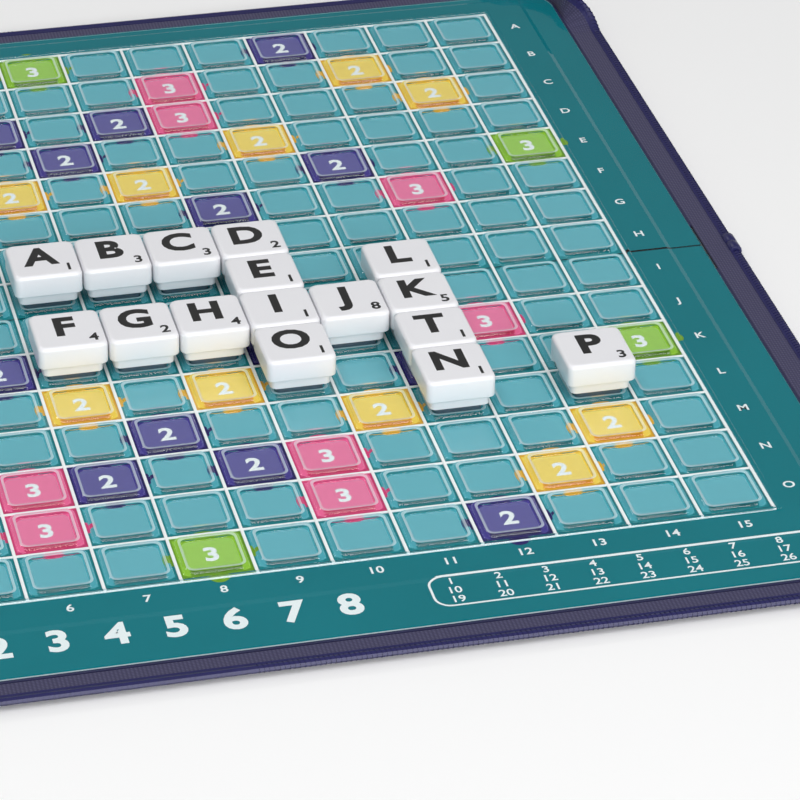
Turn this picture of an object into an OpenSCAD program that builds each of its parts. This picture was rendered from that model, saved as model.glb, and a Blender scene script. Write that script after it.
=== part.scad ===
// Travel word tile game in a soft zip case, lying open and flat.
// Two board halves fold together about a line above their inner edges, so that the tiles stay in place between them.
// The origin is on the table under the middle of the fold: +X runs along the rows, +Y to the back, +Z up.

/* [Board] */
// Distance from one square of the grid to the next
cell_pitch = 13.7; // [12:0.1:16]
// Squares in a row
columns = 15; // [9:2:17]
// Rows of squares on the front half
front_rows = 7; // [5:1:8]
// Rows of squares on the back half
back_rows = 8; // [6:1:8]
// Plain margin of the printed card left and right of the grid
side_margin = 16.2; // [10:0.1:24]
// Plain margin of the printed card in front of the grid
front_margin = 22.3; // [18:0.1:30]
// Thickness of the printed card
card_t = 0.5; // [0.3:0.1:1.2]
// Corner radius of the printed card
card_corner_r = 7; // [3:0.5:12]
// Gap between the two halves at the fold
fold_gap = 0.4; // [0.3:0.1:1]

/* [Clear tray] */
// Thickness of the clear sheet between the blocks
sheet_t = 0.5; // [0.3:0.1:1]
// Extra thickness of the sheet in the band round the grid
band_t = 0.3; // [0.2:0.1:0.6]
// Width of the thicker band round the grid
band_w = 10.3; // [8:0.1:14]
// Height of a clear block above the print
block_h = 1.4; // [1.3:0.1:3]
// Width of the groove between two blocks
groove_w = 1.6; // [0.8:0.1:2]
// Radius of the rounded shoulder along a block's top edges
shoulder_r = 0.8; // [0.3:0.1:0.8]
// Width of the low bead in the middle of each groove
bead_w = 0.6; // [0.4:0.1:0.7]
// Height of the bead above the sheet
bead_h = 0.2; // [0.1:0.05:0.4]
// Width of the rim left round the dish in the top of a block
rim_w = 1.1; // [0.9:0.1:2]
// Corner radius of the dish
dish_corner_r = 1.2; // [0.8:0.1:2]
// Depth of the dish in the top of a block
dish_depth = 0.8; // [0.5:0.1:1.2]
// Least width of plain sheet outside the band
sheet_rim_w = 3; // [2:0.5:5]
// Gap between the grid's edge and the kerb round it
kerb_gap = 0.3; // [0.2:0.1:0.8]
// Width of the low kerb round the grid
kerb_w = 0.9; // [0.6:0.1:1.5]
// Height of the kerb above the print
kerb_h = 1.2; // [0.9:0.1:2.4]

/* [Tiles] */
// Gap between two tiles side by side
tile_gap = 0.3; // [0.3:0.05:0.6]
// Height of the tile's wide upper body
tile_body_h = 4.5; // [3:0.1:6]
// Height of the tile's narrower foot
tile_foot_h = 2.1; // [1:0.1:3]
// Height at which the plug holds the foot above the blocks
tile_stand = 1.3; // [0.3:0.1:2]
// Step in from the body to the foot on each side
foot_inset = 0.9; // [0.5:0.1:1.5]
// Radius of the tile's upright corners
tile_corner_r = 1.3; // [0.6:0.1:2]
// Radius of the tile's rounded top edges
tile_edge_r = 0.8; // [0.4:0.1:1.2]
// Clearance between the plug under a tile and the dish round it
plug_clear = 0.35; // [0.2:0.05:0.6]
// Distance between facing tiles when the case is folded shut
facing_gap = 2; // [1.8:0.1:4]

/* [Case] */
// Thickness of the coated fabric skin
skin_t = 0.6; // [0.4:0.1:1]
// Thickness of the board that stiffens each half
stiffener_t = 1.2; // [0.8:0.1:3]
// Clearance between the skin's turned-up edge and the card inside it
wrap_clear = 0.2; // [0.1:0.05:0.4]
// Width of the soft spine across the fold
spine_w = 18; // [12:1:30]

/* [Zip] */
// Width of the front and back tapes, coil included
end_tape_w = 5; // [4:0.1:9]
// Width of the side tapes, coil included
side_tape_w = 6; // [5:0.1:9]
// Thickness of the tape
tape_t = 0.8; // [0.4:0.1:1]
// Height of the tape's middle plane above the table
tape_z = 1.9; // [1.8:0.1:3]
// Distance from the skin to the line that the tape turns about
tape_offset = 0.7; // [0.7:0.1:1.2]
// Diameter of the coil
coil_d = 2; // [1.6:0.1:2.4]
// Length over which the tape twists from flat to upright beside a corner
ramp_l = 14; // [10:1:24]
// Gap between a tape and the corner piece that carries it on
tape_gap = 0.3; // [0.2:0.1:0.6]
// Angle at which the left tapes lie, which leaves room for the pull tab under the slider
left_tilt = 18; // [18:1:30]
// Diameter of the end clip on a coil
clip_d = 2.8; // [2.4:0.1:3]
// Length of the end clip on a coil
clip_l = 3; // [2:0.5:5]

/* [Slider] */
// Length of the slider
slider_l = 8.5; // [7:0.5:11]
// Half the width of the slider
slider_half_w = 3.4; // [3.2:0.1:4]
// Corner radius of the slider's nose
slider_corner_r = 1.2; // [0.6:0.1:2]
// Width of the slider's tail as a share of its nose
tail_share = 0.8; // [0.6:0.05:0.95]
// Thickness of each of the slider's two plates
plate_t = 0.5; // [0.4:0.1:0.7]
// Clearance between the slider and the coil
slider_clear = 0.15; // [0.1:0.05:0.3]
// Thickness of the wedge that parts the two coils
wedge_t = 1.2; // [0.8:0.1:1.6]
// Length of the wedge
wedge_l = 3.6; // [2:0.1:5]
// Distance from the wedge to the slider's nose
wedge_set_back = 0.2; // [0.1:0.1:1]
// Distance from the slider's middle to its waist, where it begins to narrow
waist_offset = 0.85; // [0:0.05:2]
// Width of the lips that hold the tapes apart from the plates' edges
lip_w = 0.4; // [0.3:0.05:0.6]
// Length of the lips
lip_l = 3.8; // [2:0.1:5]
// Length of the crown that the pull tab hangs from
crown_l = 4; // [3:0.5:6]
// Width of the crown
crown_w = 2; // [1.5:0.1:2.4]
// Metal left round the pin in the crown
crown_wall = 0.45; // [0.4:0.05:0.8]
// Radius of the pull tab's pin
pin_r = 0.5; // [0.4:0.05:0.7]
// Running clearance of the pin in the crown
pin_clear = 0.06; // [0.04:0.01:0.1]
// Length of the pull tab from its pin
pull_l = 22; // [14:1:32]
// Width of the pull tab
pull_w = 5; // [4.5:0.5:8]
// Thickness of the pull tab
pull_t = 1.2; // [0.8:0.1:1.4]
// Gap between the crown and each arm of the pull tab
arm_gap = 0.3; // [0.2:0.05:0.5]
// Room between the end of the crown and the pull tab's web
web_gap = 1.6; // [1:0.1:3]
// Corner radius of the pull tab
pull_corner_r = 1.6; // [0.8:0.1:2.2]
// Radius of the hole in the pull tab
pull_hole_r = 1.1; // [0.8:0.1:1.4]
// Distance from the hole's middle to the pull tab's end
pull_hole_edge = 3; // [2.4:0.1:5]
// Distance from the fold to the middle of the parked slider
slider_park = 10; // [8:1:20]

/* [Hidden] */
TILE_CELLS = [
    [7, 8], [8, 8], [9, 8], [10, 8],
    [10, 9],
    [7, 10], [8, 10], [9, 10], [10, 10], [11, 10], [12, 10],
    [12, 9], [12, 11], [12, 12], [10, 11],
    [14, 12]
];
arc_fn = 32;
ramp_steps = 8;
arc_steps = 6;
eps = 0.01;
seam = 0.05;

grid_half_w = columns * cell_pitch / 2;
card_half_w = grid_half_w + side_margin;
half_depth = front_rows * cell_pitch + front_margin;
half_gap = fold_gap / 2;

print_z = skin_t + stiffener_t + card_t;
block_z = print_z + block_h;
dish_z = block_z - dish_depth;
foot_z = block_z + tile_stand;
body_z = foot_z + tile_foot_h;
tile_top_z = body_z + tile_body_h;
fold_z = tile_top_z + facing_gap / 2;

block_w = cell_pitch - groove_w;
dish_w = block_w - 2 * rim_w;
tile_w = cell_pitch - tile_gap;
foot_w = tile_w - 2 * foot_inset;
plug_w = dish_w - 2 * plug_clear;
plug_corner_r = dish_corner_r - plug_clear;

wrap = wrap_clear + skin_t;
skin_half_w = card_half_w + wrap;
skin_depth = half_depth + wrap;
skin_corner_r = card_corner_r + wrap;
corner_x = skin_half_w - skin_corner_r;
corner_y = skin_depth - skin_corner_r;
coil_r = coil_d / 2;
tape_r = skin_corner_r + tape_offset;
side_line = skin_half_w + tape_offset;
end_line = skin_depth + tape_offset;
end_strip_l = 2 * (corner_x - ramp_l - tape_gap);
side_strip_l = corner_y - ramp_l - tape_gap - half_gap;

slider_inner = coil_r + slider_clear;
slider_line = coil_r + wedge_t / 2;
slider_waist = -waist_offset;
wedge_nose = slider_l / 2 - wedge_set_back;
wedge_heel = wedge_nose - wedge_l;
pin_drop = slider_inner + plate_t + crown_wall + pin_r;
crown_bottom = pin_drop + pin_r + crown_wall;
lip_gap = tape_t / 2 + slider_clear;
arm_w = (pull_w - crown_w - 2 * arm_gap) / 2;
arm_r = pull_t / 2;
arm_l = crown_l / 2 + web_gap;
tab_l = pull_l - arm_l;

// Flat shape with four rounded corners, centred
module rounded(w, d, r) {
    square([w - 2 * r, d], center = true);
    square([w, d - 2 * r], center = true);
    for (x = [-1, 1], y = [-1, 1])
        translate([x * (w / 2 - r), y * (d / 2 - r)]) circle(r, $fn = arc_fn);
}

// Outline of the front half: rounded at its two outer corners, square at the fold
module half_outline(half_w, depth, r) {
    translate([-half_w, -depth + r]) square([2 * half_w, depth - r - half_gap]);
    translate([-half_w + r, -depth]) square([2 * half_w - 2 * r, r + eps]);
    for (x = [-1, 1])
        translate([x * (half_w - r), -depth + r]) circle(r, $fn = arc_fn);
}

// Places what is drawn for the front half on the back half
module to_back() { mirror([0, 1, 0]) children(); }

module plate(z, t, inset = 0) {
    translate([0, 0, z]) linear_extrude(t)
        half_outline(card_half_w - inset, half_depth - inset, card_corner_r - inset);
}

// Coated fabric skin with its edge turned up round the board and the card
module cover_skin() {
    color("#2c2b5e") {
        linear_extrude(skin_t)
            difference() {
                half_outline(skin_half_w, skin_depth, skin_corner_r);
                translate([-skin_half_w, -spine_w / 2]) square([2 * skin_half_w, spine_w]);
            }
        translate([0, 0, skin_t]) linear_extrude(print_z - skin_t)
            difference() {
                half_outline(skin_half_w, skin_depth, skin_corner_r);
                half_outline(card_half_w + wrap_clear, half_depth + wrap_clear, card_corner_r + wrap_clear);
                translate([-skin_half_w, -spine_w / 2]) square([2 * skin_half_w, spine_w]);
            }
    }
}

module stiffener() {
    color("#8a8378") plate(skin_t, stiffener_t);
}

module printed_card() {
    color("#17757d") plate(skin_t + stiffener_t, card_t);
}

// Soft strip that joins the two skins under the fold
module fold_spine() {
    color("#2c2b5e")
        translate([-skin_half_w, -spine_w / 2 + eps, 0]) cube([2 * skin_half_w, spine_w - 2 * eps, skin_t]);
}

// Frame round the grid of one half: from inset outside the grid's edge, w wide at the sides and w_end at the outer end
module grid_frame(rows, inset, w, w_end) {
    grid_d = rows * cell_pitch;
    difference() {
        translate([-grid_half_w - inset - w, -grid_d - inset - w_end])
            square([2 * (grid_half_w + inset + w), grid_d + inset + w_end - half_gap]);
        translate([-grid_half_w - inset, -grid_d - inset])
            square([2 * (grid_half_w + inset), grid_d + inset]);
    }
}

// Clear moulded tray: one low dished block over each square of the print, inside a kerb and a thicker band
module clear_tray(rows) {
    end_band_w = min(band_w, half_depth - rows * cell_pitch - sheet_rim_w);
    color("#9fd6dc", 0.5)
        difference() {
            union() {
                plate(print_z, sheet_t);
                translate([0, 0, print_z]) {
                    linear_extrude(sheet_t + band_t) grid_frame(rows, 0, band_w, end_band_w);
                    linear_extrude(kerb_h) grid_frame(rows, kerb_gap, kerb_w, kerb_w);
                    blocks(rows);
                    beads(rows);
                }
            }
            translate([0, 0, dish_z]) linear_extrude(dish_depth + 1)
                each_cell(rows) rounded(dish_w, dish_w, dish_corner_r);
        }
}

// Blocks over the squares: one slab, parted by the grooves that run both ways
module blocks(rows) {
    grid_d = rows * cell_pitch;
    difference() {
        translate([-grid_half_w, -grid_d, 0]) cube([2 * grid_half_w, grid_d, block_h]);
        rotate([90, 0, 0]) linear_extrude(grid_d + 1)
            for (c = [0:columns]) translate([c * cell_pitch - grid_half_w, 0]) groove_side();
        rotate([90, 0, 90]) linear_extrude(2 * grid_half_w + 2, center = true)
            for (r = [0:rows]) translate([-r * cell_pitch, 0]) groove_side();
    }
}

// End view of a groove, which leaves the shoulders of the blocks beside it rounded
module groove_side() {
    translate([-groove_w / 2, sheet_t]) square([groove_w, block_h]);
    difference() {
        translate([-groove_w / 2 - shoulder_r, block_h - shoulder_r])
            square([groove_w + 2 * shoulder_r, shoulder_r + 1]);
        for (x = [-1, 1])
            translate([x * (groove_w / 2 + shoulder_r), block_h - shoulder_r]) circle(shoulder_r, $fn = arc_fn);
    }
}

// Low beads that stand in the middle of the grooves
module beads(rows) {
    grid_d = rows * cell_pitch;
    bead_z = sheet_t + bead_h;
    for (c = [0:columns])
        translate([c * cell_pitch - grid_half_w - bead_w / 2, -grid_d - bead_w / 2, 0])
            cube([bead_w, grid_d + bead_w / 2 - half_gap, bead_z]);
    for (r = [1:rows])
        translate([-grid_half_w - bead_w / 2, -r * cell_pitch - bead_w / 2, 0])
            cube([2 * grid_half_w + bead_w, bead_w, bead_z]);
}

module each_cell(rows) {
    for (c = [1:columns], r = [1:rows])
        translate([(c - 0.5) * cell_pitch - grid_half_w, (0.5 - r) * cell_pitch]) children();
}

// Cross-section direction of a tape: along it at a tilt, and square to it
function along(n, a) = [n[0] * cos(a), n[1] * cos(a), sin(a)];
function across(n, a) = [-n[0] * sin(a), -n[1] * sin(a), cos(a)];

// Smooth step from 0 to 1
function ease(t) = t * t * (3 - 2 * t);

// Stations along a front corner: [point on the turning line, outward normal, tilt, tape width]
// side is 1 at the right corner and -1 at the left one, flat is the tilt of the side tape beyond the ramp
function corner_stations(side, flat) = [
    for (i = [0:ramp_steps - 1])
        [[side * (corner_x - ramp_l * (1 - i / ramp_steps)), -end_line],
         [0, -1], 90 * ease(i / ramp_steps), end_tape_w],
    for (i = [0:arc_steps])
        let (a = -90 + 90 * i / arc_steps)
        [[side * (corner_x + tape_r * cos(a)), -corner_y + tape_r * sin(a)],
         [side * cos(a), sin(a)], 90, end_tape_w + (side_tape_w - end_tape_w) * i / arc_steps],
    for (i = [1:ramp_steps])
        [[side * side_line, -corner_y + ramp_l * i / ramp_steps],
         [side, 0], 90 - (90 - flat) * ease(i / ramp_steps), side_tape_w]
];

// Corner points of a ring: p on the turning line, u along the tape, v across it
function ring_point(p, n, a, u, v) =
    [p[0], p[1], tape_z] + u * along(n, a) + v * across(n, a);

function tape_ring(s) = [
    for (uv = [[0, -1], [1, -1], [1, 1], [0, 1]])
        ring_point(s[0], s[1], s[2], uv[0] * (s[3] - coil_d - seam), uv[1] * tape_t / 2)
];

function coil_ring(s) = [
    for (k = [0:7])
        ring_point(s[0], s[1], s[2], s[3] - coil_r + coil_r * cos(45 * k), coil_r * sin(45 * k))
];

// Solid through a row of rings that each have the same number of points
module loft(rings, flip = false) {
    m = len(rings[0]);
    n = len(rings);
    sides = [
        for (i = [0:n - 2], k = [0:m - 1])
            let (a = i * m + k, b = i * m + (k + 1) % m)
            [[a, b, b + m], [a, b + m, a + m]]
    ];
    faces = concat(
        [for (s = sides, t = s) t],
        [[for (k = [m - 1:-1:0]) k]],
        [[for (k = [0:m - 1]) (n - 1) * m + k]]
    );
    polyhedron(
        points = [for (r = rings, p = r) p],
        faces = flip ? faces : [for (f = faces) [for (k = [len(f) - 1:-1:0]) f[k]]]
    );
}

module corner_tapes() {
    color("#4a4a72") {
        loft([for (s = corner_stations(1, 0)) tape_ring(s)]);
        loft([for (s = corner_stations(-1, left_tilt)) tape_ring(s)], flip = true);
    }
}

module corner_coils() {
    color("#1c1c50") {
        loft([for (s = corner_stations(1, 0)) coil_ring(s)]);
        loft([for (s = corner_stations(-1, left_tilt)) coil_ring(s)], flip = true);
    }
}

// Flat length of tape or coil that starts on the turning line: local +X outward, +Y along, +Z across
module tape_strip(w, l) {
    color("#4a4a72")
        translate([0, 0, -tape_t / 2]) cube([w - coil_r, l, tape_t]);
}

module coil_strip(w, l, clipped = false) {
    color("#1c1c50")
        difference() {
            translate([w - coil_r, 0, 0]) {
                rotate([-90, 0, 0]) cylinder(h = l, r = coil_r, $fn = arc_fn);
                if (clipped)
                    translate([0, l - clip_l, 0]) rotate([-90, 0, 0])
                        cylinder(h = clip_l, r = clip_d / 2, $fn = arc_fn);
            }
            translate([w - coil_r - clip_d, -1, -tape_t / 2]) cube([clip_d, l + 2, tape_t]);
        }
}

// Puts a strip on the front, right or left edge of the front half
module on_front() {
    translate([-end_strip_l / 2, -end_line, tape_z]) rotate([0, 0, -90]) children();
}
module on_right() {
    translate([side_line, -side_strip_l - half_gap, tape_z]) children();
}
module on_left() {
    mirror([1, 0, 0]) translate([side_line, -side_strip_l - half_gap, tape_z]) rotate([0, -left_tilt, 0]) children();
}

// Slider in the strip's own directions, with the coil's middle line as its local Y axis
module slider_plate() {
    linear_extrude(plate_t)
        intersection() {
            translate([slider_line, 0]) rounded(2 * slider_half_w, slider_l, slider_corner_r);
            translate([slider_line, 0]) polygon([
                [-slider_half_w, slider_l / 2], [slider_half_w, slider_l / 2],
                [slider_half_w, slider_waist], [slider_half_w * tail_share, -slider_l / 2],
                [-slider_half_w * tail_share, -slider_l / 2], [-slider_half_w, slider_waist]
            ]);
        }
}

module slider_at() {
    on_left() translate([side_tape_w - coil_r, side_strip_l + half_gap - slider_park, 0]) children();
}

module slider_body() {
    color("#b9bcc4")
        slider_at() {
            difference() {
                union() {
                    translate([0, 0, slider_inner]) slider_plate();
                    translate([0, 0, -slider_inner - plate_t]) slider_plate();
                    translate([slider_line, 0, -slider_inner - eps]) linear_extrude(2 * slider_inner + 2 * eps)
                        polygon([[-wedge_t / 2 + seam, wedge_nose], [wedge_t / 2 - seam, wedge_nose], [0, wedge_heel]]);
                    for (e = [slider_line - slider_half_w, slider_line + slider_half_w - lip_w], s = [0, 1])
                        mirror([0, 0, s]) translate([e, slider_waist, lip_gap])
                            cube([lip_w, lip_l, slider_inner - lip_gap + eps]);
                    translate([slider_line - crown_w / 2, -crown_l / 2, -crown_bottom])
                        cube([crown_w, crown_l, crown_bottom - slider_inner - plate_t + eps]);
                }
                translate([slider_line - crown_w, 0, -pin_drop]) rotate([0, 90, 0])
                    cylinder(h = 2 * crown_w, r = pin_r + pin_clear, $fn = arc_fn);
            }
        }
}

module pull_tab() {
    color("#b9bcc4")
        slider_at() translate([slider_line, 0, -pin_drop]) {
            rotate([0, 90, 0]) cylinder(h = pull_w, r = pin_r, center = true, $fn = arc_fn);
            for (s = [-1, 1])
                translate([s * (pull_w - arm_w) / 2, 0, 0]) {
                    rotate([0, 90, 0]) cylinder(h = arm_w, r = arm_r, center = true, $fn = arc_fn);
                    translate([-arm_w / 2, -arm_l, -arm_r]) cube([arm_w, arm_l, pull_t]);
                }
            translate([0, -arm_l - tab_l / 2, -arm_r]) linear_extrude(pull_t)
                difference() {
                    union() {
                        rounded(pull_w, tab_l, pull_corner_r);
                        translate([-pull_w / 2, 0]) square([pull_w, tab_l / 2 + seam]);
                    }
                    translate([0, pull_hole_edge - tab_l / 2]) circle(pull_hole_r, $fn = arc_fn);
                }
        }
}

// Moulded tile: rounded body, narrower foot, and a plug that stands on the floor of the dish
module tile(k) {
    cell = TILE_CELLS[k - 1];
    color("#ededf1")
        translate([(cell[0] - 0.5) * cell_pitch - grid_half_w, (back_rows + 0.5 - cell[1]) * cell_pitch, 0]) {
            translate([0, 0, body_z])
                intersection() {
                    linear_extrude(tile_body_h) rounded(tile_w, tile_w, tile_corner_r);
                    for_edges() tile_side();
                    rotate([0, 0, 90]) for_edges() tile_side();
                }
            translate([0, 0, foot_z]) linear_extrude(tile_foot_h + eps)
                rounded(foot_w, foot_w, tile_corner_r);
            translate([0, 0, dish_z]) linear_extrude(dish_depth + tile_stand + eps)
                rounded(plug_w, plug_w, plug_corner_r);
        }
}

module for_edges() {
    rotate([90, 0, 0]) linear_extrude(tile_w + 2, center = true) children();
}

// Side view of the tile's body, with its two top edges rounded
module tile_side() {
    translate([-tile_w / 2, -1]) square([tile_w, tile_body_h + 1 - tile_edge_r]);
    translate([-tile_w / 2 + tile_edge_r, 0]) square([tile_w - 2 * tile_edge_r, tile_body_h]);
    for (x = [-1, 1])
        translate([x * (tile_w / 2 - tile_edge_r), tile_body_h - tile_edge_r]) circle(tile_edge_r, $fn = arc_fn);
}

cover_skin();  // front_cover_skin
stiffener();  // front_stiffener
printed_card();  // front_printed_card
clear_tray(front_rows);  // front_clear_tray
corner_tapes();  // front_corner_tapes
corner_coils();  // front_corner_coils
fold_spine();
to_back() cover_skin();  // back_cover_skin
to_back() stiffener();  // back_stiffener
to_back() printed_card();  // back_printed_card
to_back() clear_tray(back_rows);  // back_clear_tray
to_back() corner_tapes();  // back_corner_tapes
to_back() corner_coils();  // back_corner_coils
on_front() tape_strip(end_tape_w, end_strip_l);  // front_zip_tape
on_front() coil_strip(end_tape_w, end_strip_l);  // front_zip_coil
to_back() on_front() tape_strip(end_tape_w, end_strip_l);  // back_zip_tape
to_back() on_front() coil_strip(end_tape_w, end_strip_l);  // back_zip_coil
on_right() tape_strip(side_tape_w, side_strip_l);  // right_front_zip_tape
on_right() coil_strip(side_tape_w, side_strip_l, clipped = true);  // right_front_zip_coil
to_back() on_right() tape_strip(side_tape_w, side_strip_l);  // right_back_zip_tape
to_back() on_right() coil_strip(side_tape_w, side_strip_l, clipped = true);  // right_back_zip_coil
on_left() tape_strip(side_tape_w, side_strip_l);  // left_front_zip_tape
on_left() coil_strip(side_tape_w, side_strip_l, clipped = true);  // left_front_zip_coil
to_back() on_left() tape_strip(side_tape_w, side_strip_l);  // left_back_zip_tape
to_back() on_left() coil_strip(side_tape_w, side_strip_l, clipped = true);  // left_back_zip_coil
slider_body();
pull_tab();
tile(1);  // tile_01
tile(2);  // tile_02
tile(3);  // tile_03
tile(4);  // tile_04
tile(5);  // tile_05
tile(6);  // tile_06
tile(7);  // tile_07
tile(8);  // tile_08
tile(9);  // tile_09
tile(10);  // tile_10
tile(11);  // tile_11
tile(12);  // tile_12
tile(13);  // tile_13
tile(14);  // tile_14
tile(15);  // tile_15
tile(16);  // tile_16
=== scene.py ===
import math

import bmesh
import bpy
from mathutils import Matrix, Vector
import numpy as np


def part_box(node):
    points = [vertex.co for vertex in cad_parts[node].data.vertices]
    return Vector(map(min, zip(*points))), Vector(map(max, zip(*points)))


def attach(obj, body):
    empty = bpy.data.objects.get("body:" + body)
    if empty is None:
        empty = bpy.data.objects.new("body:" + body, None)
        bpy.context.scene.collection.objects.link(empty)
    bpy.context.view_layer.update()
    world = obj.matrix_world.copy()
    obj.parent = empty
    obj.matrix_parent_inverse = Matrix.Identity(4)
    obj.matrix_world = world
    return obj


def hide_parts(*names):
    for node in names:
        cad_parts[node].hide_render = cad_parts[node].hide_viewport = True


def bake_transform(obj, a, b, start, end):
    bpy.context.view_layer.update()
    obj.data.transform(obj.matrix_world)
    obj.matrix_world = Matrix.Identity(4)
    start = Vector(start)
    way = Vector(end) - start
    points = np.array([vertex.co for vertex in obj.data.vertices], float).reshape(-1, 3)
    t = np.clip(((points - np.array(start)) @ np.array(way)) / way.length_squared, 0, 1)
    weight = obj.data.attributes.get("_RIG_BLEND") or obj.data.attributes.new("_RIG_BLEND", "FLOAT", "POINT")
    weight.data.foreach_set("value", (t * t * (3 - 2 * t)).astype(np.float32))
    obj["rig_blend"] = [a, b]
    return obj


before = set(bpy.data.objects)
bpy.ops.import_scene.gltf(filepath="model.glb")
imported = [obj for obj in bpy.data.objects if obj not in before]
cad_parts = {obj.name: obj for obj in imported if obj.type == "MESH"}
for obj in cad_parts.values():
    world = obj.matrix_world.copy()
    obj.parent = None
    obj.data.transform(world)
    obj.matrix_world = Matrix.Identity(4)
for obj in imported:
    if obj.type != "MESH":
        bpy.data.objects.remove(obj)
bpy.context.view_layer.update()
mm = 0.001

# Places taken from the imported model
trayLow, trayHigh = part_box("front_clear_tray")
tapeLow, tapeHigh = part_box("right_front_zip_tape")
printZ = trayLow.z
blockZ = trayHigh.z
cardHalfW = trayHigh.x
halfDepth = -trayLow.y
foldHalfGap = -trayHigh.y

board = {"pitch": 13.7 * mm, "columns": 15, "frontRows": 7, "backRows": 8}
gridHalfW = board["columns"] * board["pitch"] / 2
allRows = board["backRows"] + board["frontRows"]

# Two places closer than this are one, and the finer value is for cut corners, which lie close together
samePlace = 1e-6
sameCorner = 1e-7


# Colour and node helpers
def linear(hexText):
    channels = [int(hexText[i:i + 2], 16) / 255 for i in (1, 3, 5)]
    return [c / 12.92 if c <= 0.04045 else ((c + 0.055) / 1.055) ** 2.4 for c in channels] + [1.0]


def addNode(tree, kind, inputs=None, **settings):
    node = tree.nodes.new(kind)
    for key, value in settings.items():
        setattr(node, key, value)
    for socket, value in (inputs or {}).items():
        if isinstance(value, bpy.types.NodeSocket):
            tree.links.new(value, node.inputs[socket])
        else:
            node.inputs[socket].default_value = value
    return node


def newMaterial(name, **shaderValues):
    material = bpy.data.materials.new(name)
    material.use_nodes = True
    tree = material.node_tree
    tree.nodes.clear()
    values = {key.replace("_", " "): value for key, value in shaderValues.items()}
    shader = addNode(tree, "ShaderNodeBsdfPrincipled", values)
    addNode(tree, "ShaderNodeOutputMaterial", {"Surface": shader.outputs[0]})
    return material, tree, shader


def addBump(tree, shader, height, strength, distance):
    bump = addNode(tree, "ShaderNodeBump", {"Height": height, "Strength": strength, "Distance": distance})
    tree.links.new(bump.outputs[0], shader.inputs["Normal"])


def objectNoise(tree, size, detail=2.0):
    where = addNode(tree, "ShaderNodeTexCoord").outputs["Object"]
    values = {"Vector": where, "Scale": 1 / size, "Detail": detail}
    return addNode(tree, "ShaderNodeTexNoise", values).outputs["Fac"]


wavePeriod = 0.31  # A wave texture of scale 1 repeats after this length


def weave(tree, where, warpSize, weftSize):
    # Two sets of waves that cross each other
    waves = []
    for size, direction in ((warpSize, "X"), (weftSize, "Y")):
        values = {"Vector": where, "Scale": wavePeriod / size}
        waves.append(addNode(tree, "ShaderNodeTexWave", values, bands_direction=direction).outputs["Fac"])
    return addNode(tree, "ShaderNodeMath", {0: waves[0], 1: waves[1]}, operation="MULTIPLY").outputs[0]


def tint(tree, shader, factor, dark, light):
    ramp = addNode(tree, "ShaderNodeValToRGB", {"Fac": factor})
    ramp.color_ramp.elements[0].color = linear(dark)
    ramp.color_ramp.elements[1].color = linear(light)
    tree.links.new(ramp.outputs[0], shader.inputs["Base Color"])


# Camera, fitted to the grid of the board
cameraPlace = {
    "position": (-119.9 * mm, -688.6 * mm, 411.5 * mm),
    "azimuth": math.radians(-14.40), "elevation": math.radians(31.60), "roll": math.radians(1.07),
    "lens": 185.85, "sensor": 36.0, "nearest": 0.05, "farthest": 50,
}


def makeCamera():
    data = bpy.data.cameras.new("camera")
    data.lens = cameraPlace["lens"]
    data.sensor_width = cameraPlace["sensor"]
    data.clip_start = cameraPlace["nearest"]
    data.clip_end = cameraPlace["farthest"]
    camera = bpy.data.objects.new("camera", data)
    bpy.context.collection.objects.link(camera)
    a, e = cameraPlace["azimuth"], cameraPlace["elevation"]
    back = Vector((math.sin(a) * math.cos(e), -math.cos(a) * math.cos(e), math.sin(e)))
    right = Vector((0, 0, 1)).cross(back).normalized()
    up = back.cross(right)
    turn = Matrix((right, up, back)).transposed().to_4x4()
    turn = turn @ Matrix.Rotation(cameraPlace["roll"], 4, "Z")
    camera.matrix_world = Matrix.Translation(cameraPlace["position"]) @ turn
    bpy.context.scene.camera = camera


makeCamera()
print("camera placed")


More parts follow.
